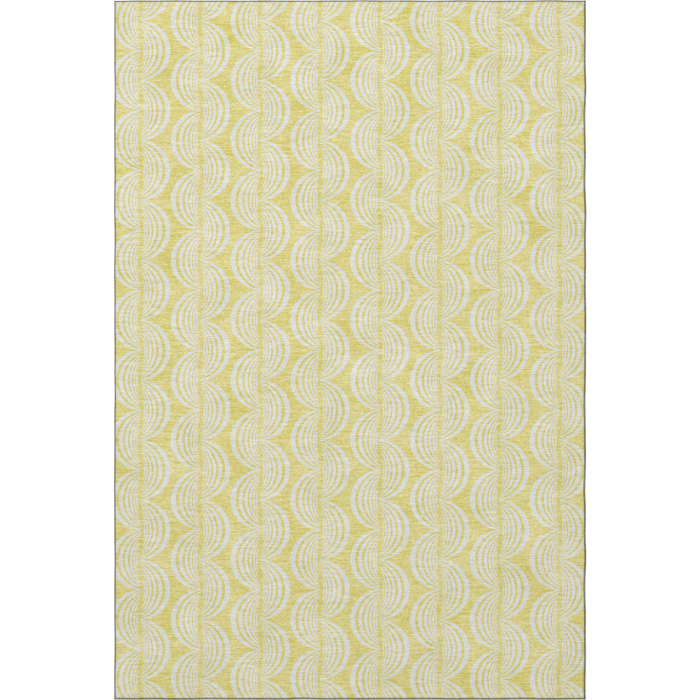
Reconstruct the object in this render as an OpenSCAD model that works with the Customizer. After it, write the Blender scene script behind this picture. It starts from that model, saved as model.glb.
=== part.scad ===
// Flat area rug: a printed face cloth, a felt core and a grip backing, bound
// together round the cut edge by a three-thread overlock seam.
// The origin is the middle of the underside: X runs across the rug, Y along it
// towards its head end, and Z up through its thickness.

/* [Rug] */
// Finished width, over the edge stitching
rug_w = 1524; // [1200:1:1800]
// Finished length, over the edge stitching
rug_l = 2260; // [1800:1:2700]

/* [Layers] */
// Thickness of the printed chenille face cloth
face_t = 2.6; // [1.6:0.1:6]
// Thickness of the needled felt core
core_t = 1.6; // [0.8:0.1:5]
// Thickness of the rubber grip backing
grip_t = 1.5; // [1:0.1:3]

/* [Edge stitching] */
// Thickness of the overlock thread as it lies on the cloth
thread_d = 0.7; // [0.3:0.1:0.8]
// Width of the stitching, from the rug's outer edge inwards
lip_w = 6; // [4:0.5:12]
// Width of the row of needle stitches along the inside of the lip
needle_w = 1; // [0.6:0.1:2]

/* [Hidden] */
rug_t = grip_t + core_t + face_t;
grip_top = grip_t;
core_top = grip_top + core_t;
// Height at which the two looper threads lock together on the cut edge
seam_z = rug_t / 2;

// Sides of the rug, and how far each turns from the foot end's own frame
SIDES = ["foot", "right", "head", "left"];
CORNERS = ["foot_left", "foot_right", "head_right", "head_left"];
quarter_turn = 90;

function named(piece, places) = [for (place = places) str(piece, "_", place)];

// A flat layer set in from the rug's edge by inset, from height low to high
module layer(inset, low, high) {
    translate([inset - rug_w / 2, inset - rug_l / 2, low])
        cube([rug_w - 2 * inset, rug_l - 2 * inset, high - low]);
}

// Puts what is drawn for the foot end, outer face on y = 0, at side number i
module at_side(i) {
    reach = i % 2 == 0 ? rug_l / 2 : rug_w / 2;
    rotate(i * quarter_turn) translate([0, -reach, 0]) children();
}

// Puts what is drawn for the foot's left corner, outer faces on x = 0 and
// y = 0, at corner number i
module at_corner(i) {
    across = i % 2 == 0 ? rug_w / 2 : rug_l / 2;
    along = i % 2 == 0 ? rug_l / 2 : rug_w / 2;
    rotate(i * quarter_turn) translate([-across, -along, 0]) children();
}

// Length of the stitched run on side number i, between its two corner tacks
function run_length(i) = (i % 2 == 0 ? rug_w : rug_l) - 2 * lip_w;

// A straight bar of a stitched run on side number i, from distance near to
// far in from the outer face, and from height low to high
module run_bar(i, near, far, low, high) {
    at_side(i)
        translate([-run_length(i) / 2, near, low])
            cube([run_length(i), far - near, high - low]);
}

// Printed cloth, pressed thinner under the stitching round its margin
module face_cloth() {
    color([0.84, 0.80, 0.55]) {
        layer(thread_d, core_top, rug_t - thread_d);
        layer(lip_w, core_top, rug_t);
    }
}

// Felt that gives the rug its body
module felt_core() {
    color([0.70, 0.68, 0.64])
        layer(thread_d, grip_top, core_top);
}

// Rubber sheet that the rug rests on, pressed thinner under the stitching
module grip_backing() {
    color([0.79, 0.76, 0.69]) {
        layer(thread_d, thread_d, grip_top);
        layer(lip_w, 0, grip_top);
    }
}

// Thread on the top of the margin and down the upper half of the cut edge
module upper_looper(i) {
    color([0.30, 0.30, 0.30]) {
        run_bar(i, 0, lip_w - needle_w, rug_t - thread_d, rug_t);
        run_bar(i, 0, thread_d, seam_z, rug_t);
    }
}

// Thread on the underside of the margin and up the lower half of the cut edge
module lower_looper(i) {
    color([0.26, 0.26, 0.26]) {
        run_bar(i, 0, lip_w, 0, thread_d);
        run_bar(i, 0, thread_d, 0, seam_z);
    }
}

// Row of straight stitches that holds the upper looper's inner loops down
module needle_thread(i) {
    color([0.34, 0.34, 0.33])
        run_bar(i, lip_w - needle_w, lip_w, rug_t - thread_d, rug_t);
}

// Thread ends of two runs, wrapped over the corner and tied off
module corner_tack(i) {
    color([0.22, 0.22, 0.22])
        at_corner(i)
            difference() {
                cube([lip_w, lip_w, rug_t]);
                translate([thread_d, thread_d, thread_d])
                    cube([lip_w, lip_w, rug_t - 2 * thread_d]);
            }
}

face_cloth();
felt_core();
grip_backing();
for (i = [0 : len(SIDES) - 1]) {
    upper_looper(i);
    lower_looper(i);
    needle_thread(i);
}
for (i = [0 : len(CORNERS) - 1])
    corner_tack(i);
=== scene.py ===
"""A flat area rug, printed with stacked crescents and overlocked all round.

Lengths are in metres, in the frame's own axes: X across the rug, Y along it towards its head
end, Z up through its thickness.
"""

import math
import random

import bmesh
import bpy
from bpy.props import FloatProperty, FloatVectorProperty, IntProperty, PointerProperty
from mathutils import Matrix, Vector, noise


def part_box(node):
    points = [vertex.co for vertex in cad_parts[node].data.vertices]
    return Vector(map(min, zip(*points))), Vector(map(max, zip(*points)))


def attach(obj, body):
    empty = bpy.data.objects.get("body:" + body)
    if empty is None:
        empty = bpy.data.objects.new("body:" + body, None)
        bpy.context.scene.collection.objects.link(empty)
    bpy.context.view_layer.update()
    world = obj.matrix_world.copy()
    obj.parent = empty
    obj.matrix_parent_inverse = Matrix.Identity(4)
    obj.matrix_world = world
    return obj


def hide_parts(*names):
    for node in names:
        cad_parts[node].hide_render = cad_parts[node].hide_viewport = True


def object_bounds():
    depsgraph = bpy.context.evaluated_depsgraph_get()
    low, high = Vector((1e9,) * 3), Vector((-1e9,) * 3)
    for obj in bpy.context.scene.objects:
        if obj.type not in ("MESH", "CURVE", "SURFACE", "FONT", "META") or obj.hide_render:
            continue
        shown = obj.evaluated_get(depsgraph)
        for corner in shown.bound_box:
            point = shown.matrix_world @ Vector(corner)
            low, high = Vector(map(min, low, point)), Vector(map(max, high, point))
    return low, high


bl_info = {
    "name": "Crescent Rug",
    "version": (1, 0, 0),
    "blender": (4, 5, 0),
    "location": "View3D > Sidebar > Rug",
    "description": "Builds a printed chenille area rug and its overlocked edge",
    "category": "Add Mesh",
}

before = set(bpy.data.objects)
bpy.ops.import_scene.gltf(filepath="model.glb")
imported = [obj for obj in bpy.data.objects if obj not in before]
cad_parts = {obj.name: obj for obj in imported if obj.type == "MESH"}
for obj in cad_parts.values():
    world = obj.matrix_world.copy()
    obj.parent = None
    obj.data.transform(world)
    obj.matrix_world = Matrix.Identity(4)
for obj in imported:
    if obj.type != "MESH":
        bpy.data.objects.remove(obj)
CAD_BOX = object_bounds()

# Places read from the frame
RUG_HIGH = CAD_BOX[1]
CLOTH_LOW, CLOTH_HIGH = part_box("face_cloth")
CORE_LOW, CORE_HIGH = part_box("felt_core")
GRIP_LOW, GRIP_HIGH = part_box("grip_backing")
SEAM_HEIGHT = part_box("lower_looper_foot")[1].z
NEEDLE_LINE = sum(corner.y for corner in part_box("needle_thread_foot")) / 2 + RUG_HIGH.y
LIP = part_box("corner_tack_foot_left")[1].y + RUG_HIGH.y
THREAD = RUG_HIGH.x - CLOTH_HIGH.x

# Sides and corners in the order in which a quarter turn takes one to the next
SIDES = ("foot", "right", "head", "left")
CORNERS = ("foot_left", "foot_right", "head_right", "head_left")

# Power by which the wander of the cut edges dies away inwards
EDGE_HOLD = 6
# The cloth rises from under its stitching between these distances short of and past the lip
PRESS_BEFORE, PRESS_AFTER = 0.0006, 0.0016
# Pale bands in one crescent, and the arc inside which the finest of them lie
BANDS, FINE_ARC = 6, 4
# Shares of a yarn's shade that change slowly and quickly along it
SLOW_SHARE, QUICK_SHARE = 0.51, 0.49
# How much paler a yarn looks for each step that the next one is darker
CONTRAST = 0.15
# How far apart two neighbouring yarns lie in the noise
YARN_STEP = 7.31
# Scale of a tuft's noise along its yarn, across it and upwards, which draws it out along the yarn
TUFT_SCALE = (0.45, 1.8, 1.0)
# Shades of yarn below and above which it is wholly deep or wholly pale
DEEP_SHADE, EVEN_SHADE, PALE_SHADE = 0.352, 0.50, 0.648


# Settings


class RugPrint(bpy.types.PropertyGroup):
    """The crescents printed on the face cloth."""

    repeat_across: FloatProperty(
        name="Repeat across", description="Distance from one upright stem to the next",
        default=0.19333, min=0.02, unit="LENGTH")
    repeat_along: FloatProperty(
        name="Repeat along", description="Height of one crescent, from tip to tip",
        default=0.19360, min=0.02, unit="LENGTH")
    stem: FloatProperty(
        name="Stem", description="Place of one upright stem, across from the rug's middle",
        default=-0.0968, unit="LENGTH")
    cusp: FloatProperty(
        name="Cusp", description="Place of one pair of crescent tips, along from the middle",
        default=0.09636, unit="LENGTH")
    bulge: FloatProperty(
        name="Bulge", description="Reach of the outermost crescent from its stem, in repeats",
        default=0.4968, min=0.1, max=0.5)
    band: FloatProperty(
        name="Band", description="Width of the outermost pale band, in repeats",
        default=0.0838, min=0.01)
    gap: FloatProperty(
        name="Gap", description="Width of the outermost yellow gap, in repeats",
        default=0.048, min=0.005)
    taper: FloatProperty(
        name="Taper", description="Width of each band and gap as a share of the one outside it",
        default=0.775, min=0.3, max=1)
    closing: FloatProperty(
        name="Closing", description="How much shorter each arc stands than the one outside it, in repeats",
        default=0.0176, min=0)
    stem_height: FloatProperty(
        name="Stem height", description="Half-height of the stem's own edge, in repeats",
        default=0.482, min=0.1, max=0.5)
    bleed: FloatProperty(
        name="Bleed", description="Distance over which the dye fades at a band's edge, in repeats",
        default=0.004, min=0.0005)
    ground: FloatVectorProperty(
        name="Ground", description="Yellow of the ground", subtype="COLOR",
        default=(0.652, 0.585, 0.223), min=0, max=1)
    ground_deep: FloatVectorProperty(
        name="Deep ground", description="Olive yellow of the darker yarn", subtype="COLOR",
        default=(0.556, 0.495, 0.065), min=0, max=1)
    ground_pale: FloatVectorProperty(
        name="Pale ground", description="Cream of the paler yarn", subtype="COLOR",
        default=(0.739, 0.678, 0.435), min=0, max=1)
    crescent: FloatVectorProperty(
        name="Crescent", description="Off-white of the crescents", subtype="COLOR",
        default=(0.655, 0.662, 0.617), min=0, max=1)
    crescent_deep: FloatVectorProperty(
        name="Deep crescent", description="Cream of the darker yarn", subtype="COLOR",
        default=(0.592, 0.598, 0.472), min=0, max=1)
    crescent_pale: FloatVectorProperty(
        name="Pale crescent", description="White of the paler yarn", subtype="COLOR",
        default=(0.718, 0.726, 0.762), min=0, max=1)
    gap_dye: FloatVectorProperty(
        name="Gap dye", description="What the dye lets through in the gaps between bands", subtype="COLOR",
        default=(0.985, 0.970, 0.830), min=0, max=1)
    fine_white: FloatVectorProperty(
        name="Fine white", description="How much brighter the finest bands are: red, green, blue",
        default=(1.02, 1.01, 1.06), min=0.5, max=1.5)


class RugCloth(bpy.types.PropertyGroup):
    """The woven chenille of the face cloth."""

    pick: FloatProperty(
        name="Pick", description="Distance from one weft yarn to the next",
        default=0.0032, min=0.001, unit="LENGTH")
    rib: FloatProperty(
        name="Rib", description="Height of a weft yarn over the furrows beside it",
        default=0.0006, min=0, unit="LENGTH")
    slub: FloatProperty(
        name="Slub", description="Unevenness of a yarn's height along its length",
        default=0.00025, min=0, unit="LENGTH")
    column: FloatProperty(
        name="Column", description="Width of the mesh's quads along a yarn",
        default=0.045, min=0.005, unit="LENGTH")
    run: FloatProperty(
        name="Run", description="Length over which a yarn keeps its shade",
        default=0.060, min=0.002, unit="LENGTH")
    fleck: FloatProperty(
        name="Fleck", description="Length of the short flecks in a yarn",
        default=0.0085, min=0.001, unit="LENGTH")
    shadow: FloatProperty(
        name="Shadow", description="How much darker or lighter one tuft of the nap is than the next",
        default=0.185, min=0, max=0.5)
    patch: FloatProperty(
        name="Patch", description="How much patches of the cloth differ in shade",
        default=0.22, min=0, max=1)
    heather: FloatProperty(
        name="Heather", description="How far single tufts lean towards pink or green",
        default=0.075, min=0, max=0.3)
    wander: FloatProperty(
        name="Wander", description="How far a yarn carries the edge of the print aside",
        default=0.0008, min=0, unit="LENGTH")
    fibre: FloatProperty(
        name="Fibre", description="Size of the loose fibres on the cloth",
        default=0.0022, min=0.0002, unit="LENGTH")
    tuft: FloatProperty(
        name="Tuft", description="Size of one tuft of the nap",
        default=0.0041, min=0.0005, unit="LENGTH")
    patch_size: FloatProperty(
        name="Patch size", description="Width of a patch that keeps one shade",
        default=0.11, min=0.01, unit="LENGTH")
    # Width of the patches of painted light and shade where the nap lies one way or the other
    nap_shade_size: FloatProperty(
        name="Nap size", description="Width of an area whose nap lies one way",
        default=0.16, min=0.01, unit="LENGTH")


class RugBacking(bpy.types.PropertyGroup):
    """The felt core and the rubber grip backing."""

    pad: FloatProperty(
        name="Pad", description="Distance from one grip pad to the next",
        default=0.016, min=0.006, unit="LENGTH")
    groove: FloatProperty(
        name="Groove", description="Depth of the grooves between the grip pads",
        default=0.0009, min=0, unit="LENGTH")
    flank: FloatProperty(
        name="Flank", description="Width of a pad's sloping flank",
        default=0.0016, min=0.0002, unit="LENGTH")
    rubber: FloatVectorProperty(
        name="Rubber", description="Colour of the grip backing", subtype="COLOR",
        default=(0.58, 0.54, 0.43), min=0, max=1)
    felt: FloatVectorProperty(
        name="Felt", description="Colour of the felt core", subtype="COLOR",
        default=(0.45, 0.42, 0.37), min=0, max=1)


class RugSeam(bpy.types.PropertyGroup):
    """The overlock stitching round the cut edge."""

    stitch: FloatProperty(
        name="Stitch", description="Length of one overlock stitch along the edge",
        default=0.0029, min=0.0015, unit="LENGTH")
    slant: FloatProperty(
        name="Slant", description="Lean of a stitch across the edge, in stitch lengths",
        default=0.35)
    # The stitches take more of the lip on the foot and right sides, so that their dark thread shows wider
    # there as painted shade on those sides
    bite_with_shade: FloatVectorProperty(
        name="Bite", description="Share of the lip that the stitches take: foot, right, head, left",
        default=(0.96, 1.0, 0.74, 0.77), size=4, min=0.3, max=1)
    unevenness: FloatProperty(
        name="Unevenness", description="How far a stitch strays from its place",
        default=0.00012, min=0, unit="LENGTH")
    wave: FloatProperty(
        name="Wave", description="How much the stitches' reach wanders along a side, as a share",
        default=0.12, min=0, max=0.5)
    wave_length: FloatProperty(
        name="Wave length", description="Length of one wander of the stitches' reach",
        default=0.025, min=0.005, unit="LENGTH")
    fan: IntProperty(
        name="Fan", description="Number of stitches fanned over a corner", default=12, min=3)
    knot_turns: IntProperty(
        name="Knot turns", description="Turns of thread in a knot", default=3, min=1)
    knot_width: FloatProperty(
        name="Knot width", description="Width of a corner's knot, as a share of the lip",
        default=0.3, min=0.1, max=1)
    loose_knot: FloatVectorProperty(
        name="Loose knot",
        description="The foot right corner's knot: in from the foot, in from the right, width; in lips",
        default=(1.3, 0.5, 0.7), size=3, min=0)
    thread: FloatVectorProperty(
        name="Thread", description="Olive charcoal of the overlock thread", subtype="COLOR",
        default=(0.046, 0.043, 0.0165), min=0, max=1)


class RugEdges(bpy.types.PropertyGroup):
    """How straight the rug was cut."""

    stray: FloatVectorProperty(
        name="Stray", description="How far each cut edge wanders sideways: foot, right, head, left",
        default=(0.0014, 0.0028, 0.0014, 0.0016), size=4, min=0, unit="LENGTH")
    stray_length: FloatProperty(
        name="Stray length", description="Length of one wander along an edge",
        default=0.10, min=0.01, unit="LENGTH")


class RugStage(bpy.types.PropertyGroup):
    """The floor, the lights and the camera."""

    floor_colour: FloatVectorProperty(
        name="Floor", description="Colour of the floor", subtype="COLOR",
        default=(0.97, 0.97, 0.97), min=0, max=1)
    floor_size: FloatProperty(
        name="Floor size", description="Width and length of the floor",
        default=120, min=4, unit="LENGTH")
    floor_glow: FloatProperty(
        name="Floor glow", description="Light that the floor gives out, as a light table does",
        default=0.2, min=0)
    sky: FloatProperty(
        name="Sky", description="Strength of the even light from all round", default=0.777, min=0)
    lamp: FloatProperty(
        name="Lamp", description="Power of the softbox past the head end, in watts",
        default=55.8, min=0)
    lamp_size: FloatProperty(
        name="Lamp size", description="Width of the softbox", default=1.2, min=0.1, unit="LENGTH")
    lamp_spread: FloatProperty(
        name="Lamp spread", description="Angle of the softbox's grid",
        default=math.radians(121), min=0.1, max=math.pi, subtype="ANGLE")
    lamp_place: FloatVectorProperty(
        name="Lamp place", description="Where the softbox stands",
        default=(-0.84, 3.0, 5.0), subtype="XYZ", unit="LENGTH")
    lamp_aim: FloatVectorProperty(
        name="Lamp aim", description="Where the softbox points",
        default=(0, -0.5, 0), subtype="XYZ", unit="LENGTH")
    field: FloatProperty(
        name="Field", description="Width of floor that the camera sees",
        default=2.2622, min=0.1, unit="LENGTH")
    aim: FloatVectorProperty(
        name="Aim", description="Place under the camera, from the rug's middle",
        default=(-0.0002, 0.0), size=2, subtype="XYZ", unit="LENGTH")
    lens: FloatProperty(
        name="Lens", description="Focal length in millimetres", default=200, min=20)


SETTINGS = {
    "rug_print": RugPrint,
    "rug_cloth": RugCloth,
    "rug_backing": RugBacking,
    "rug_seam": RugSeam,
    "rug_edges": RugEdges,
    "rug_stage": RugStage,
}


# Places on the rug


def strayed(x, y, z):
    """A point moved with the slight wander of the cut edges, which dies away inwards."""
    edges = bpy.context.scene.rug_edges
    foot, right, head, left = edges.stray
    beside = noise.noise((y / edges.stray_length, math.copysign(7.3, x), 0))
    above = noise.noise((x / edges.stray_length, math.copysign(4.1, y), 9.0))
    sideways = (right if x > 0 else left) * beside * (x / RUG_HIGH.x) ** EDGE_HOLD
    endways = (head if y > 0 else foot) * above * (y / RUG_HIGH.y) ** EDGE_HOLD
    return Vector((x + sideways, y + endways, z))


def turned(quarters, x, y):
    """A point turned by a number of quarter turns about the rug's middle."""
    for _ in range(quarters):
        x, y = -y, x
    return x, y


def at_side(side, along, inset, height):
    """A point on one side of the rug: along the side, in from its outer face, and up."""
    reach = RUG_HIGH.x if side % 2 else RUG_HIGH.y
    return strayed(*turned(side, along, inset - reach), height)


def at_corner(corner, across, along, height):
    """A point at one corner of the rug: in from its two outer faces, and up."""
    reach_x, reach_y = (RUG_HIGH.y, RUG_HIGH.x) if corner % 2 else (RUG_HIGH.x, RUG_HIGH.y)
    return strayed(*turned(corner, across - reach_x, along - reach_y), height)


def inset_of(x, y):
    """How far a point lies in from the nearest outer face of the rug."""
    return min(RUG_HIGH.x - abs(x), RUG_HIGH.y - abs(y))


def sewn_inset_of(x, y):
    """A point's inset, as it would be if the stitches took the whole lip on every side."""
    foot, right, head, left = bpy.context.scene.rug_seam.bite_with_shade
    return min(
        (RUG_HIGH.x - abs(x)) / (right if x > 0 else left),
        (RUG_HIGH.y - abs(y)) / (head if y > 0 else foot))


def eased(value, start, end):
    """Zero before start and one after end, with a smooth rise between them."""
    share = min(1.0, max(0.0, (value - start) / (end - start)))
    return share * share * (3 - 2 * share)


# Making pieces


def graded(half, margins, step):
    """Places from -half to half: the given margins in from both ends, and even steps between."""
    inner = half - margins[-1]
    count = max(1, round(2 * inner / step))
    between = [inner * (2 * i / count - 1) for i in range(1, count)]
    ends = [half - margin for margin in margins]
    return [-end for end in ends] + between + ends[::-1]


def sheet_of_quads(columns, rows):
    """A new flat mesh whose grid lines lie at the given places across and along."""
    bm = bmesh.new()
    last_column, last_row = len(columns) - 1, len(rows) - 1
    made = bmesh.ops.create_grid(bm, x_segments=last_column, y_segments=last_row, size=1)
    for vert in made["verts"]:
        column = round((vert.co.x + 1) / 2 * last_column)
        row = round((vert.co.y + 1) / 2 * last_row)
        vert.co = (columns[column], rows[row], 0)
    return bm


def close_slab(bm, far_z):
    """Closes an open sheet into a slab with walls from its rim to a flat face at far_z."""
    rim = [edge for edge in bm.edges if edge.is_boundary]
    walls = bmesh.ops.extrude_edge_only(bm, edges=rim)["geom"]
    for item in walls:
        if isinstance(item, bmesh.types.BMVert):
            item.co.z = far_z
    for edge in rim:
        edge.smooth = False
    far_rim = [edge for edge in bm.edges if edge.is_boundary]
    for edge in far_rim:
        edge.smooth = False
    bmesh.ops.contextual_create(bm, geom=far_rim)
    bmesh.ops.recalc_face_normals(bm, faces=bm.faces)


def finish_piece(piece, material, slot, *nodes):
    """Shows a new piece in place of its CAD nodes, on the rug's one body."""
    piece.data.materials.append(material)
    bpy.context.collection.objects.link(piece)
    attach(piece, "root")
    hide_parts(*nodes)
    return piece


def slab_piece(name, bm, material, slot, node):
    """A finished layer of the rug."""
    for face in bm.faces:
        face.smooth = True
    mesh = bpy.data.meshes.new(name)
    bm.to_mesh(mesh)
    bm.free()
    piece = finish_piece(bpy.data.objects.new(name, mesh), material, slot, node)


def thread_piece(name, routes, material, node):
    """A finished piece of overlock thread, laid along one or more routes."""
    curve = bpy.data.curves.new(name, "CURVE")
    curve.dimensions = "3D"
    curve.bevel_depth = THREAD / 2
    curve.bevel_resolution = 1
    curve.use_fill_caps = True
    for route in routes:
        spline = curve.splines.new("POLY")
        spline.points.add(len(route) - 1)
        spline.points.foreach_set("co", [number for point in route for number in (*point, 1)])
    finish_piece(bpy.data.objects.new(name, curve), material, "overlock_thread", node)


# Shader trees


class Tree:
    """A shader tree, with short ways to add nodes whose inputs are numbers or other sockets."""

    def __init__(self, tree):
        self.tree = tree

    def add(self, kind, inputs=None, **settings):
        """Adds one node, with its settings and the inputs given by name or number."""
        node = self.tree.nodes.new(kind)
        for name, value in settings.items():
            setattr(node, name, value)
        for name, value in (inputs or {}).items():
            if isinstance(value, bpy.types.NodeSocket):
                self.tree.links.new(value, node.inputs[name])
            else:
                node.inputs[name].default_value = value
        return node

    def sum_of(self, operation, *values):
        """The result of one math operation on up to three values."""
        return self.add("ShaderNodeMath", dict(enumerate(values)), operation=operation).outputs[0]

    def vector(self, x=0.0, y=0.0, z=0.0):
        """A vector made of three values."""
        return self.add("ShaderNodeCombineXYZ", {"X": x, "Y": y, "Z": z}).outputs[0]

    def noise(self, place, scale, detail, roughness=0.5):
        """Noise from about zero to one at a place."""
        inputs = {"Vector": place, "Scale": scale, "Detail": detail, "Roughness": roughness}
        return self.add("ShaderNodeTexNoise", inputs).outputs["Fac"]

    def ranged(self, value, low, high, to_low=0.0, to_high=1.0, shape="SMOOTHSTEP"):
        """A value carried from one range to another, held at its ends."""
        inputs = {"Value": value, "From Min": low, "From Max": high,
                  "To Min": to_low, "To Max": to_high}
        return self.add("ShaderNodeMapRange", inputs, interpolation_type=shape).outputs[0]

    def mixed(self, share, first, second, blend="MIX"):
        """Two colours mixed by a share."""
        node = self.add("ShaderNodeMix", data_type="RGBA", blend_type=blend)
        given = {node.inputs[0]: share, node.inputs[6]: first, node.inputs[7]: second}
        for socket, value in given.items():
            if isinstance(value, bpy.types.NodeSocket):
                self.tree.links.new(value, socket)
            elif socket.type == "RGBA":
                socket.default_value = (*value, 1)
            else:
                socket.default_value = value
        return node.outputs[2]

    def use(self, group, **inputs):
        """Places a node group, with its inputs given by name."""
        node = self.tree.nodes.new("ShaderNodeGroup")
        node.node_tree = group
        for name, value in inputs.items():
            if isinstance(value, bpy.types.NodeSocket):
                self.tree.links.new(value, node.inputs[name])
            else:
                node.inputs[name].default_value = value
        return node.outputs


def new_group(name, inputs, outputs):
    """A new shader node group with its Tree, its input sockets, and its output node's sockets."""
    group = bpy.data.node_groups.new(name, "ShaderNodeTree")
    for socket in inputs:
        kind = "NodeSocketVector" if socket == "Place" else "NodeSocketFloat"
        group.interface.new_socket(socket, in_out="INPUT", socket_type=kind)
    for socket in outputs:
        group.interface.new_socket(socket, in_out="OUTPUT", socket_type="NodeSocketFloat")
    tree = Tree(group)
    return group, tree, tree.add("NodeGroupInput").outputs, tree.add("NodeGroupOutput").inputs


def crescent_arcs(pattern):
    """Bulge and half-height of each printed arc, from the outermost inwards, in repeats."""
    bulge, band, gap = pattern.bulge, pattern.band, pattern.gap
    bulges = []
    for _ in range(BANDS):
        bulges += [bulge, bulge - band]
        bulge -= band + gap
        band *= pattern.taper
        gap *= pattern.taper
    heights = [0.5 - pattern.closing * step for step in range(len(bulges) - 1)]
    return list(zip(bulges, heights + [pattern.stem_height]))


def crescent_group(pattern):
    """Group: which parts of the cloth are printed off-white, as nested crescents on upright stems."""
    group, tree, given, out = new_group(
        "Stacked Crescents", ("Place", "Across", "Along", "Stem", "Cusp"), ("Crescent", "Gap", "Fine"))
    place = tree.add("ShaderNodeSeparateXYZ", {0: given["Place"]}).outputs

    from_stem = tree.sum_of("SUBTRACT", place["X"], given["Stem"])
    column = tree.sum_of("DIVIDE", from_stem, given["Across"])
    near_stem = tree.sum_of("SUBTRACT", column, tree.sum_of("ROUND", column))
    left_of_stem = tree.sum_of("LESS_THAN", near_stem, 0.0)
    across = tree.sum_of("ABSOLUTE", near_stem)

    from_cusp = tree.sum_of("SUBTRACT", place["Y"], given["Cusp"])
    row = tree.sum_of("DIVIDE", from_cusp, given["Along"])
    staggered = tree.sum_of("MULTIPLY_ADD", left_of_stem, 0.5, row)
    along = tree.sum_of("SUBTRACT", tree.sum_of("FRACT", staggered), 0.5)
    spot = tree.vector(across, along)

    # Whether the spot lies inside each arc. The last two arcs bound the innermost band and the stem.
    inside = []
    for bulge, height in crescent_arcs(pattern):
        radius = (height ** 2 + bulge ** 2) / (2 * bulge)
        centre = (bulge - radius, 0, 0)
        distance = tree.add(
            "ShaderNodeVectorMath", {0: spot, 1: centre}, operation="DISTANCE").outputs["Value"]
        fade = pattern.bleed / 2
        inside.append(tree.ranged(distance, radius - fade, radius + fade, 1.0, 0.0))

    printed = inside[-2]
    for outer, inner in zip(inside[0:-2:2], inside[1:-2:2]):
        printed = tree.sum_of("ADD", printed, tree.sum_of("SUBTRACT", outer, inner))
    off_stem = tree.sum_of("SUBTRACT", 1.0, inside[-1])
    crescent = tree.sum_of("MULTIPLY", printed, off_stem)
    gap = tree.sum_of("MULTIPLY", inside[1], tree.sum_of("SUBTRACT", off_stem, crescent))
    for name, value in (("Crescent", crescent), ("Gap", gap), ("Fine", inside[FINE_ARC])):
        tree.tree.links.new(value, out[name])
    return group


def yarn_group():
    """Group: the weft yarns, with each one's own long and short changes of shade, and its height."""
    group, tree, given, out = new_group(
        "Weft Yarns", ("Place", "Pick", "Run", "Fleck"), ("Shade", "Stray", "Height"))
    place = tree.add("ShaderNodeSeparateXYZ", {0: given["Place"]}).outputs
    row = tree.sum_of("DIVIDE", place["Y"], given["Pick"])
    yarn = tree.sum_of("FLOOR", row)
    stretch = tree.sum_of("DIVIDE", place["X"], given["Run"])
    step = tree.sum_of("DIVIDE", place["X"], given["Fleck"])

    def shade_of(yarn):
        """Long and short changes of shade along one yarn."""
        own = tree.sum_of("MULTIPLY", yarn, YARN_STEP)
        run = tree.noise(tree.vector(stretch, own), 1.0, 1.0)
        fleck = tree.noise(tree.vector(step, own, 3.0), 1.0, 1.0)
        return tree.sum_of("MULTIPLY_ADD", run, SLOW_SHARE, tree.sum_of("MULTIPLY", fleck, QUICK_SHARE))

    beside = shade_of(tree.sum_of("ADD", yarn, 1.0))
    contrast = tree.sum_of("MULTIPLY_ADD", beside, -CONTRAST, CONTRAST / 2)
    shade = tree.sum_of("ADD", shade_of(yarn), contrast)
    own = tree.sum_of("MULTIPLY", yarn, YARN_STEP)
    stray = tree.noise(tree.vector(step, own, 8.0), 1.0, 1.0)
    across_yarn = tree.sum_of("SUBTRACT", tree.sum_of("FRACT", row), 0.5)
    square = tree.sum_of("MULTIPLY", across_yarn, across_yarn)
    height = tree.sum_of("MULTIPLY_ADD", square, -4.0, 1.0)
    for name, value in (("Shade", shade), ("Stray", stray), ("Height", height)):
        tree.tree.links.new(value, out[name])
    return group


def mottle_group():
    """Group: slow, soft changes from place to place, such as the painted light and shade where the nap
    lies one way or the other.
    """
    group, tree, given, out = new_group("Slow Mottle", ("Place", "Size"), ("Mottle",))
    scale = tree.sum_of("DIVIDE", 1.0, given["Size"])
    tree.tree.links.new(tree.noise(given["Place"], scale, 2.0), out["Mottle"])
    return group


def fibre_group():
    """Group: fine fibres that stand up from a surface."""
    group, tree, given, out = new_group("Loose Fibres", ("Place", "Size"), ("Height",))
    scale = tree.sum_of("DIVIDE", 1.0, given["Size"])
    tree.tree.links.new(tree.noise(given["Place"], scale, 4.0, 0.7), out["Height"])
    return group


def shared_group(maker, *values):
    """The node group that a maker builds, built only once."""
    name = f"rug {maker.__name__}"
    found = bpy.data.node_groups.get(name)
    if found is None:
        found = maker(*values)
        found.name = name
    return found


def new_material(name, **constants):
    """A new material with its Tree, its surface shader and its object coordinates."""
    material = bpy.data.materials.new(name)
    material.use_nodes = True
    tree = Tree(material.node_tree)
    shader = material.node_tree.nodes["Principled BSDF"]
    for socket, value in constants.items():
        shader.inputs[socket.replace("_", " ")].default_value = value
    place = tree.add("ShaderNodeTexCoord").outputs["Object"]
    return material, tree, shader.inputs, place


def raise_surface(tree, shader, height, distance, strength):
    """Feeds a height, as a share of a distance in metres, to the shader's normal."""
    inputs = {"Height": height, "Distance": distance, "Strength": strength}
    bump = tree.add("ShaderNodeBump", inputs).outputs["Normal"]
    tree.tree.links.new(bump, shader["Normal"])


def shaded(colour, factor):
    """A colour made darker or lighter by a factor, held at white."""
    return tuple(min(1.0, factor * part) for part in colour)


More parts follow.
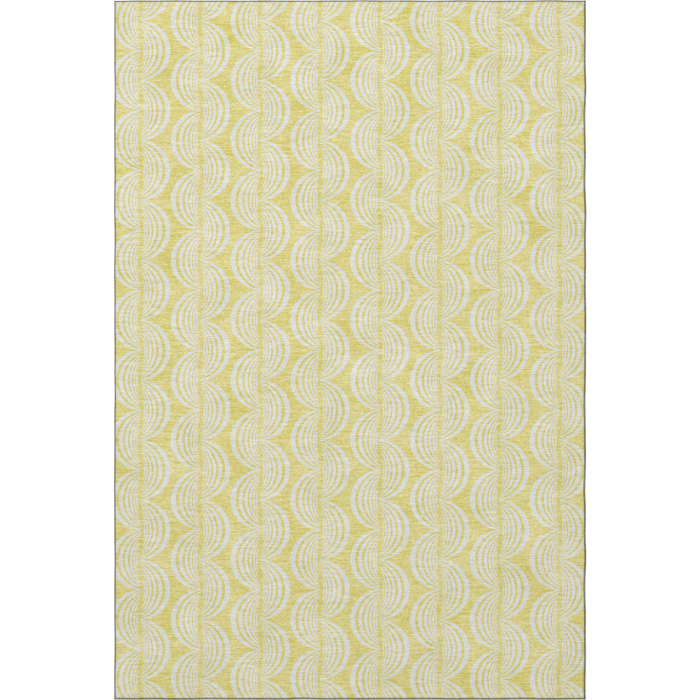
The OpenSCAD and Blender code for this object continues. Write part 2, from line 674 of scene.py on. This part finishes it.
def chenille_material(pattern, cloth):
    """Heathered chenille with the crescents printed on it."""
    material, tree, shader, place = new_material(
        "printed_chenille", Sheen_Weight=0.15, Sheen_Roughness=0.6, Specular_IOR_Level=0.15)
    yarns = tree.use(
        shared_group(yarn_group), Place=place, Pick=cloth.pick, Run=cloth.run, Fleck=cloth.fleck)
    nap_shade_mottle = tree.use(shared_group(mottle_group), Place=place, Size=cloth.nap_shade_size)["Mottle"]
    patch = tree.use(shared_group(mottle_group), Place=place, Size=cloth.patch_size)["Mottle"]
    flattened = tree.add("ShaderNodeMapping", {"Vector": place, "Scale": TUFT_SCALE}).outputs[0]
    tufts = tree.use(shared_group(mottle_group), Place=flattened, Size=cloth.tuft)["Mottle"]
    fibres = tree.use(shared_group(fibre_group), Place=place, Size=cloth.fibre)["Height"]

    nudge = tree.sum_of("MULTIPLY_ADD", yarns["Stray"], 2 * cloth.wander, -cloth.wander)
    nudged = tree.add(
        "ShaderNodeVectorMath", {0: place, 1: tree.vector(nudge)}, operation="ADD").outputs[0]
    masks = tree.use(
        shared_group(crescent_group, pattern), Place=nudged, Across=pattern.repeat_across,
        Along=pattern.repeat_along, Stem=pattern.stem, Cusp=pattern.cusp)

    centred = tree.sum_of("SUBTRACT", patch, 0.5)
    shade = tree.sum_of("MULTIPLY_ADD", centred, cloth.patch, yarns["Shade"])
    deep = tree.ranged(shade, EVEN_SHADE, DEEP_SHADE, shape="LINEAR")
    pale = tree.ranged(shade, EVEN_SHADE, PALE_SHADE, shape="LINEAR")
    ground = tree.mixed(pale, tree.mixed(deep, pattern.ground, pattern.ground_deep), pattern.ground_pale)
    dyed = tree.mixed(masks["Gap"], ground, pattern.gap_dye, "MULTIPLY")
    white = tree.mixed(
        pale, tree.mixed(deep, pattern.crescent, pattern.crescent_deep), pattern.crescent_pale)
    bright = tree.mixed(masks["Fine"], white, pattern.fine_white, "MULTIPLY")
    printed = tree.mixed(masks["Crescent"], dyed, bright)

    # Every one of these multiplies the printed colour, so each stays close to one. The nap's patches are
    # painted light and shade, the furrows' darkening is painted shade between the yarns, and the tufts'
    # changes are their painted shadow.
    # Painted light and shade: lighter and darker patches where the nap lies one way or the other
    nap = tree.ranged(nap_shade_mottle, 0.3, 0.7, 0.975, 1.025, "LINEAR")
    # Painted shade: darker down in the furrows between the yarns
    furrow = tree.ranged(yarns["Height"], 0.0, 0.35, 0.93, 1.0)
    fuzz = tree.ranged(fibres, 0.3, 0.7, 0.95, 1.05, "LINEAR")
    tuft = tree.ranged(tufts, 0.2, 0.8, 1 - cloth.shadow, 1 + cloth.shadow, "LINEAR")
    painted_shading_and_fuzz = tree.sum_of("MULTIPLY", tree.sum_of("MULTIPLY", nap, furrow), fuzz)
    tufted = tree.sum_of("MULTIPLY", painted_shading_and_fuzz, tuft)
    lean = tree.ranged(yarns["Stray"], 0.2, 0.8, 1 - cloth.heather, 1 + cloth.heather, "LINEAR")
    red = tree.sum_of("MULTIPLY", tufted, lean)
    green = tree.sum_of("DIVIDE", tufted, lean)
    shading = tree.vector(red, green, painted_shading_and_fuzz)
    colour = tree.add("ShaderNodeVectorMath", {0: printed, 1: shading}, operation="MULTIPLY").outputs[0]
    tree.tree.links.new(colour, shader["Base Color"])
    tree.tree.links.new(tree.ranged(fibres, 0.3, 0.7, 0.82, 0.98), shader["Roughness"])
    height = tree.sum_of("MULTIPLY_ADD", fibres, 0.6, yarns["Height"])
    raise_surface(tree, shader, height, 0.0004, 0.7)
    return material


def felt_material(backing):
    """Needled felt, matt and speckled."""
    material, tree, shader, place = new_material(
        "needled_felt", Sheen_Weight=0.1, Specular_IOR_Level=0.1)
    fibres = tree.use(shared_group(fibre_group), Place=place, Size=0.0012)["Height"]
    mottle = tree.use(shared_group(mottle_group), Place=place, Size=0.05)["Mottle"]
    speckle = tree.mixed(
        tree.ranged(fibres, 0.3, 0.7), shaded(backing.felt, 0.7), shaded(backing.felt, 1.2))
    colour = tree.mixed(tree.ranged(mottle, 0.3, 0.7, 0.0, 0.35), speckle, backing.felt)
    tree.tree.links.new(colour, shader["Base Color"])
    tree.tree.links.new(tree.ranged(fibres, 0.2, 0.8, 0.85, 1.0), shader["Roughness"])
    raise_surface(tree, shader, fibres, 0.0004, 0.8)
    return material


def rubber_material(backing):
    """Soft foamed rubber, matt, with fine pores, and darker down in its grooves."""
    material, tree, shader, place = new_material("grip_rubber", Specular_IOR_Level=0.35)
    pores = tree.use(shared_group(fibre_group), Place=place, Size=0.0009)["Height"]
    mottle = tree.use(shared_group(mottle_group), Place=place, Size=0.08)["Mottle"]
    mottled = tree.mixed(tree.ranged(mottle, 0.3, 0.7), shaded(backing.rubber, 0.86), backing.rubber)
    depth = tree.add("ShaderNodeSeparateXYZ", {0: place}).outputs["Z"]
    # Darker from the pads' faces upwards, in the grooves and on all the rest of the backing
    darker_above_pads = tree.ranged(depth, 0.0, backing.groove, 0.0, 0.6)
    colour = tree.mixed(darker_above_pads, mottled, shaded(backing.rubber, 0.62))
    tree.tree.links.new(colour, shader["Base Color"])
    tree.tree.links.new(tree.ranged(pores, 0.3, 0.7, 0.55, 0.8), shader["Roughness"])
    raise_surface(tree, shader, pores, 0.0001, 0.6)
    return material


def thread_material(seam):
    """Olive charcoal textured thread, paler where its fibres stand up."""
    material, tree, shader, place = new_material(
        "charcoal_thread", Sheen_Weight=0.12, Sheen_Roughness=0.5, Specular_IOR_Level=0.25)
    fibres = tree.use(shared_group(fibre_group), Place=place, Size=0.0005)["Height"]
    worn = tree.use(shared_group(mottle_group), Place=place, Size=0.03)["Mottle"]
    light = shaded(seam.thread, 1.6)
    ply = tree.mixed(tree.ranged(fibres, 0.3, 0.7), shaded(seam.thread, 0.6), light)
    colour = tree.mixed(tree.ranged(worn, 0.35, 0.75, 0.0, 0.5), ply, light)
    tree.tree.links.new(colour, shader["Base Color"])
    tree.tree.links.new(tree.ranged(fibres, 0.3, 0.7, 0.6, 0.85), shader["Roughness"])
    raise_surface(tree, shader, fibres, 0.00012, 0.8)
    return material


def shared_material(name, maker, *values):
    """The named material, made on its first use."""
    return bpy.data.materials.get(name) or maker(*values)


# Pieces


def pressed(x, y):
    """How far the stitching presses a layer's surface down at a place, as a share of a thread."""
    return 1 - eased(sewn_inset_of(x, y), LIP - PRESS_BEFORE, LIP + PRESS_AFTER)


class RUG_OT_face_cloth(bpy.types.Operator):
    """Weave the printed face cloth, yarn by yarn, pressed down under its stitching"""

    bl_idname = "rug.face_cloth"
    bl_label = "Face Cloth"

    # Height of a yarn's back at each third of the way from one furrow to the next
    PROFILE = (0.0, 0.87, 0.87)
    # Grid lines in from the cut edge, closest where the cloth rises from under its stitching
    MARGINS = (0.0, 0.0008, 0.0048, 0.0068, 0.0120)
    # Share of a rib's height that the stitching presses flat
    FLATTENED = 0.6
    # Drop of the rounded cut edge, and how far in it starts
    CUT_DROP, CUT_WIDTH = 0.0003, 0.0008
    # How far the slub noise moves on in a metre along a yarn, and from one yarn to the next
    SLUB_SCALE, SLUB_STEP = 31, 5.7

    def execute(self, context):
        cloth = context.scene.rug_cloth
        half_x, half_y = CLOTH_HIGH.x, CLOTH_HIGH.y
        columns = graded(half_x, self.MARGINS, cloth.column)
        yarns = round(2 * half_y / cloth.pick)
        thirds = len(self.PROFILE)
        rows = [half_y * (2 * row / (thirds * yarns) - 1) for row in range(thirds * yarns + 1)]
        bm = sheet_of_quads(columns, rows)
        for vert in bm.verts:
            x, y, _ = vert.co
            row = round((y / half_y + 1) / 2 * thirds * yarns)
            press = pressed(x, y)
            uneven = noise.noise((x * self.SLUB_SCALE, row // thirds * self.SLUB_STEP, 0))
            furrow = cloth.rib * (1 - self.PROFILE[row % thirds]) * (1 - self.FLATTENED * press)
            cut = self.CUT_DROP * (1 - eased(CLOTH_HIGH.x - abs(x), 0, self.CUT_WIDTH))
            drop = THREAD * press + furrow + cut + cloth.slub * (0.5 + 0.5 * uneven)
            vert.co = strayed(x, y, CLOTH_HIGH.z - drop)
        close_slab(bm, CLOTH_LOW.z)
        material = shared_material(
            "printed_chenille", chenille_material, context.scene.rug_print, cloth)
        slab_piece("face_cloth_woven", bm, material, "chenille_face", "face_cloth")
        return {"FINISHED"}


class RUG_OT_felt_core(bpy.types.Operator):
    """Lay the needled felt between the face cloth and the backing"""

    bl_idname = "rug.felt_core"
    bl_label = "Felt Core"

    # Grid lines in from the cut edge, and the step between those further in
    MARGINS, STEP = (0.0, 0.004), 0.03

    def execute(self, context):
        bm = sheet_of_quads(
            graded(CORE_HIGH.x, self.MARGINS, self.STEP), graded(CORE_HIGH.y, self.MARGINS, self.STEP))
        for vert in bm.verts:
            x, y, _ = vert.co
            vert.co = strayed(x, y, CORE_HIGH.z)
        close_slab(bm, CORE_LOW.z)
        material = shared_material("needled_felt", felt_material, context.scene.rug_backing)
        slab_piece("felt_core_sheet", bm, material, "felt_core", "felt_core")
        return {"FINISHED"}


class RUG_OT_grip_backing(bpy.types.Operator):
    """Mould the rubber backing, with a field of raised grip pads on its underside"""

    bl_idname = "rug.grip_backing"
    bl_label = "Grip Backing"

    # Width of the slope between the stitched margin and the grooves
    SLOPE = 0.002
    # Distance within which a grid line counts as lying on the inside of the lip
    NEAR = 0.0001

    def execute(self, context):
        backing = context.scene.rug_backing
        margins = (0.0, LIP - THREAD, LIP - THREAD + self.SLOPE)
        bm = sheet_of_quads(
            graded(GRIP_HIGH.x, margins, backing.pad), graded(GRIP_HIGH.y, margins, backing.pad))
        for vert in bm.verts:
            x, y, _ = vert.co
            under_lip = inset_of(x, y) < LIP + self.NEAR
            vert.co = strayed(x, y, THREAD if under_lip else backing.groove)
        pads = [
            face for face in bm.faces
            if inset_of(*face.calc_center_median().xy) > LIP + backing.pad / 3]
        bmesh.ops.inset_individual(bm, faces=pads, thickness=backing.flank, depth=-backing.groove)
        close_slab(bm, GRIP_HIGH.z)
        material = shared_material("grip_rubber", rubber_material, backing)
        slab_piece("grip_backing_sheet", bm, material, "grip_rubber", "grip_backing")
        return {"FINISHED"}


class RUG_OT_overlock_seam(bpy.types.Operator):
    """Sew the three overlock threads along each side of the rug"""

    bl_idname = "rug.overlock_seam"
    bl_label = "Overlock Seam"

    def loop(self, top):
        """One stitch of a looper thread: place in the stitch, inset from the outer face, height."""
        radius = THREAD / 2
        away = 1 if top else -1
        face = RUG_HIGH.z - radius if top else radius
        reach = NEEDLE_LINE - radius if top else NEEDLE_LINE
        leg = [
            (0.00, radius, SEAM_HEIGHT),
            (0.15, radius, face - away * 1.6 * radius),
            (0.21, 1.8 * radius, face - away * 0.3 * radius),
            (0.25, 0.5 * reach, face),
            (0.30, reach - radius, face),
            (0.50, reach + 0.3 * radius, face),
        ]
        back = [(1 - share, inset, height) for share, inset, height in leg[-2:0:-1]]
        return leg + back

    def hold(self):
        """One stitch of the needle thread, from one needle hole towards the next."""
        radius = THREAD / 2
        low, high = RUG_HIGH.z - 2.2 * radius, RUG_HIGH.z - 0.6 * radius
        return [(0.0, NEEDLE_LINE, low), (0.2, NEEDLE_LINE, high), (0.8, NEEDLE_LINE, high)]

    def run(self, seam, side, stitch, shift):
        """The route of one thread along a side, stitch after stitch."""
        length = 2 * ((RUG_HIGH.y if side % 2 else RUG_HIGH.x) - LIP)
        count = round(length / seam.stitch)
        pitch = length / count
        stray = random.Random(f"{side} {shift} {len(stitch)}")
        route = []
        for number in range(count):
            slip = stray.uniform(-1, 1) * seam.unevenness
            slow = noise.noise((number * pitch / seam.wave_length, side * 5.3, 0))
            reach = 1 + seam.wave * slow + stray.uniform(-1, 1) * seam.unevenness / LIP * 2
            for share, inset, height in stitch:
                lean = seam.slant * inset / LIP
                along = (number + share + shift + lean) * pitch + slip - length / 2
                taken = max(THREAD / 2, inset * min(1.0, seam.bite_with_shade[side] * reach))
                route.append(at_side(side, along, taken if inset > THREAD else inset, height))
        return route

    def execute(self, context):
        seam = context.scene.rug_seam
        material = shared_material("charcoal_thread", thread_material, seam)
        threads = (
            ("upper_looper", self.loop(top=True), 0.0),
            ("lower_looper", self.loop(top=False), 0.5),
            ("needle_thread", self.hold(), 0.35),
        )
        for side, side_name in enumerate(SIDES):
            for thread, stitch, shift in threads:
                node = f"{thread}_{side_name}"
                route = self.run(seam, side, stitch, shift)
                thread_piece(f"{node}_sewn", [route], material, node)
        return {"FINISHED"}


class RUG_OT_corner_tacks(bpy.types.Operator):
    """Bind each corner with fanned stitches and tie the thread ends in a knot"""

    bl_idname = "rug.corner_tacks"
    bl_label = "Corner Tacks"

    def hub(self, seam, corner):
        """How far in from its two outer faces a corner's stitches fan out from."""
        return NEEDLE_LINE * seam.bite_with_shade[corner - 1], NEEDLE_LINE * seam.bite_with_shade[corner]

    def fan(self, seam, corner):
        """The route of the stitches that fan from the needle line out over the corner."""
        radius = THREAD / 2
        top, bottom = RUG_HIGH.z - radius, radius
        hub = self.hub(seam, corner)
        width, length = LIP * seam.bite_with_shade[corner - 1], LIP * seam.bite_with_shade[corner]
        route = []
        for number in range(seam.fan):
            turn = (number + 0.5) / seam.fan * 2
            edge = (radius, length * (1 - turn)) if turn < 1 else (width * (turn - 1), radius)
            across, along = (max(radius, place) for place in edge)
            middle = ((across + hub[0]) / 2, (along + hub[1]) / 2)
            route += [
                at_corner(corner, *hub, top),
                at_corner(corner, *middle, top),
                at_corner(corner, across, along, top - 0.4 * radius),
                at_corner(corner, across, along, bottom + 0.4 * radius),
                at_corner(corner, *middle, bottom),
                at_corner(corner, *hub, bottom),
                at_corner(corner, *middle, bottom),
                at_corner(corner, across, along, bottom + 0.4 * radius),
                at_corner(corner, across, along, top - 0.4 * radius),
                at_corner(corner, *middle, top),
            ]
        return route

    def knot(self, seam, corner, across, along, width):
        """The route of a small knot that lies on the stitching."""
        route = []
        steps = 10
        for step in range(steps * seam.knot_turns + 1):
            angle = 2 * math.pi * step / steps
            swell = width / 2 * (1 - 0.18 * (step // steps))
            lift = 0.35 * THREAD * (step / steps) + 0.3 * THREAD * math.sin(1.5 * angle)
            route.append(at_corner(
                corner, across + swell * math.cos(angle), along + 0.7 * swell * math.sin(angle),
                RUG_HIGH.z - THREAD / 2 + lift))
        return route

    def execute(self, context):
        seam = context.scene.rug_seam
        material = shared_material("charcoal_thread", thread_material, seam)
        for corner, name in enumerate(CORNERS):
            routes = [self.fan(seam, corner)]
            if name == "foot_right":
                routes.append(self.knot(seam, corner, *(share * LIP for share in seam.loose_knot)))
            else:
                routes.append(self.knot(seam, corner, *self.hub(seam, corner), seam.knot_width * LIP))
            node = f"corner_tack_{name}"
            thread_piece(f"{node}_sewn", routes, material, node)
        return {"FINISHED"}


class RUG_OT_stage(bpy.types.Operator):
    """Set up the pale floor, the soft lights and the camera straight above"""

    bl_idname = "rug.stage"
    bl_label = "Stage"

    # Gap between the floor and the rug's underside
    FLOOR_GAP = 0.0002

    def floor(self, stage):
        """A wide pale floor just under the rug."""
        bm = bmesh.new()
        bmesh.ops.create_grid(bm, x_segments=1, y_segments=1, size=stage.floor_size / 2)
        bmesh.ops.translate(bm, verts=bm.verts, vec=(0, 0, -self.FLOOR_GAP))
        mesh = bpy.data.meshes.new("floor")
        bm.to_mesh(mesh)
        bm.free()
        material, tree, shader, place = new_material(
            "pale_floor", Roughness=1.0, Specular_IOR_Level=0.0, Emission_Color=(1, 1, 1, 1),
            Emission_Strength=stage.floor_glow)
        cloud = tree.use(shared_group(mottle_group), Place=place, Size=1.5)["Mottle"]
        colour = tree.mixed(cloud, shaded(stage.floor_colour, 0.995), stage.floor_colour)
        tree.tree.links.new(colour, shader["Base Color"])
        mesh.materials.append(material)
        floor = bpy.data.objects.new("floor", mesh)
        bpy.context.collection.objects.link(floor)

    def lights(self, stage):
        """Even light from all round, and a softbox beyond the head end's left corner."""
        world = bpy.data.worlds.new("studio")
        world.use_nodes = True
        backdrop = world.node_tree.nodes["Background"].inputs
        backdrop["Color"].default_value = (1, 1, 1, 1)
        backdrop["Strength"].default_value = stage.sky
        bpy.context.scene.world = world
        lamp = bpy.data.lights.new("softbox", "AREA")
        lamp.shape = "SQUARE"
        lamp.size = stage.lamp_size
        lamp.spread = stage.lamp_spread
        lamp.energy = stage.lamp
        softbox = bpy.data.objects.new("softbox", lamp)
        softbox.location = stage.lamp_place
        aim = Vector(stage.lamp_aim) - softbox.location
        softbox.rotation_euler = aim.to_track_quat("-Z", "Y").to_euler()
        bpy.context.collection.objects.link(softbox)

    def camera(self, stage):
        """A long lens straight above, so far off that the rug's edges look square."""
        lens = bpy.data.cameras.new("camera")
        lens.lens = stage.lens
        camera = bpy.data.objects.new("camera", lens)
        height = RUG_HIGH.z + stage.field * lens.lens / lens.sensor_width
        camera.location = (*stage.aim, height)
        bpy.context.collection.objects.link(camera)
        bpy.context.scene.camera = camera

    def execute(self, context):
        stage = context.scene.rug_stage
        context.scene.view_settings.view_transform = "Standard"
        self.camera(stage)
        self.lights(stage)
        self.floor(stage)
        return {"FINISHED"}


class RUG_PT_panel(bpy.types.Panel):
    """The steps in which the rug is made"""

    bl_idname = "RUG_PT_panel"
    bl_label = "Crescent Rug"
    bl_space_type = "VIEW_3D"
    bl_region_type = "UI"
    bl_category = "Rug"

    def draw(self, context):
        for operator in OPERATORS:
            self.layout.operator(operator.bl_idname)
        for name, group in SETTINGS.items():
            box = self.layout.box()
            box.label(text=group.__doc__)
            for prop in group.__annotations__:
                box.prop(getattr(context.scene, name), prop)


OPERATORS = (
    RUG_OT_stage,
    RUG_OT_grip_backing,
    RUG_OT_felt_core,
    RUG_OT_face_cloth,
    RUG_OT_overlock_seam,
    RUG_OT_corner_tacks,
)


def register():
    for group in SETTINGS.values():
        bpy.utils.register_class(group)
    for name, group in SETTINGS.items():
        setattr(bpy.types.Scene, name, PointerProperty(type=group))
    for operator in OPERATORS:
        bpy.utils.register_class(operator)
    bpy.utils.register_class(RUG_PT_panel)


def unregister():
    bpy.utils.unregister_class(RUG_PT_panel)
    for operator in reversed(OPERATORS):
        bpy.utils.unregister_class(operator)
    for name, group in SETTINGS.items():
        delattr(bpy.types.Scene, name)
        bpy.utils.unregister_class(group)


def main():
    """Builds the rug on its stage."""
    register()
    bpy.ops.rug.stage()
    bpy.ops.rug.grip_backing()
    bpy.ops.rug.felt_core()
    bpy.ops.rug.face_cloth()
    bpy.ops.rug.overlock_seam()
    bpy.ops.rug.corner_tacks()


if __name__ == "__main__":
    main()
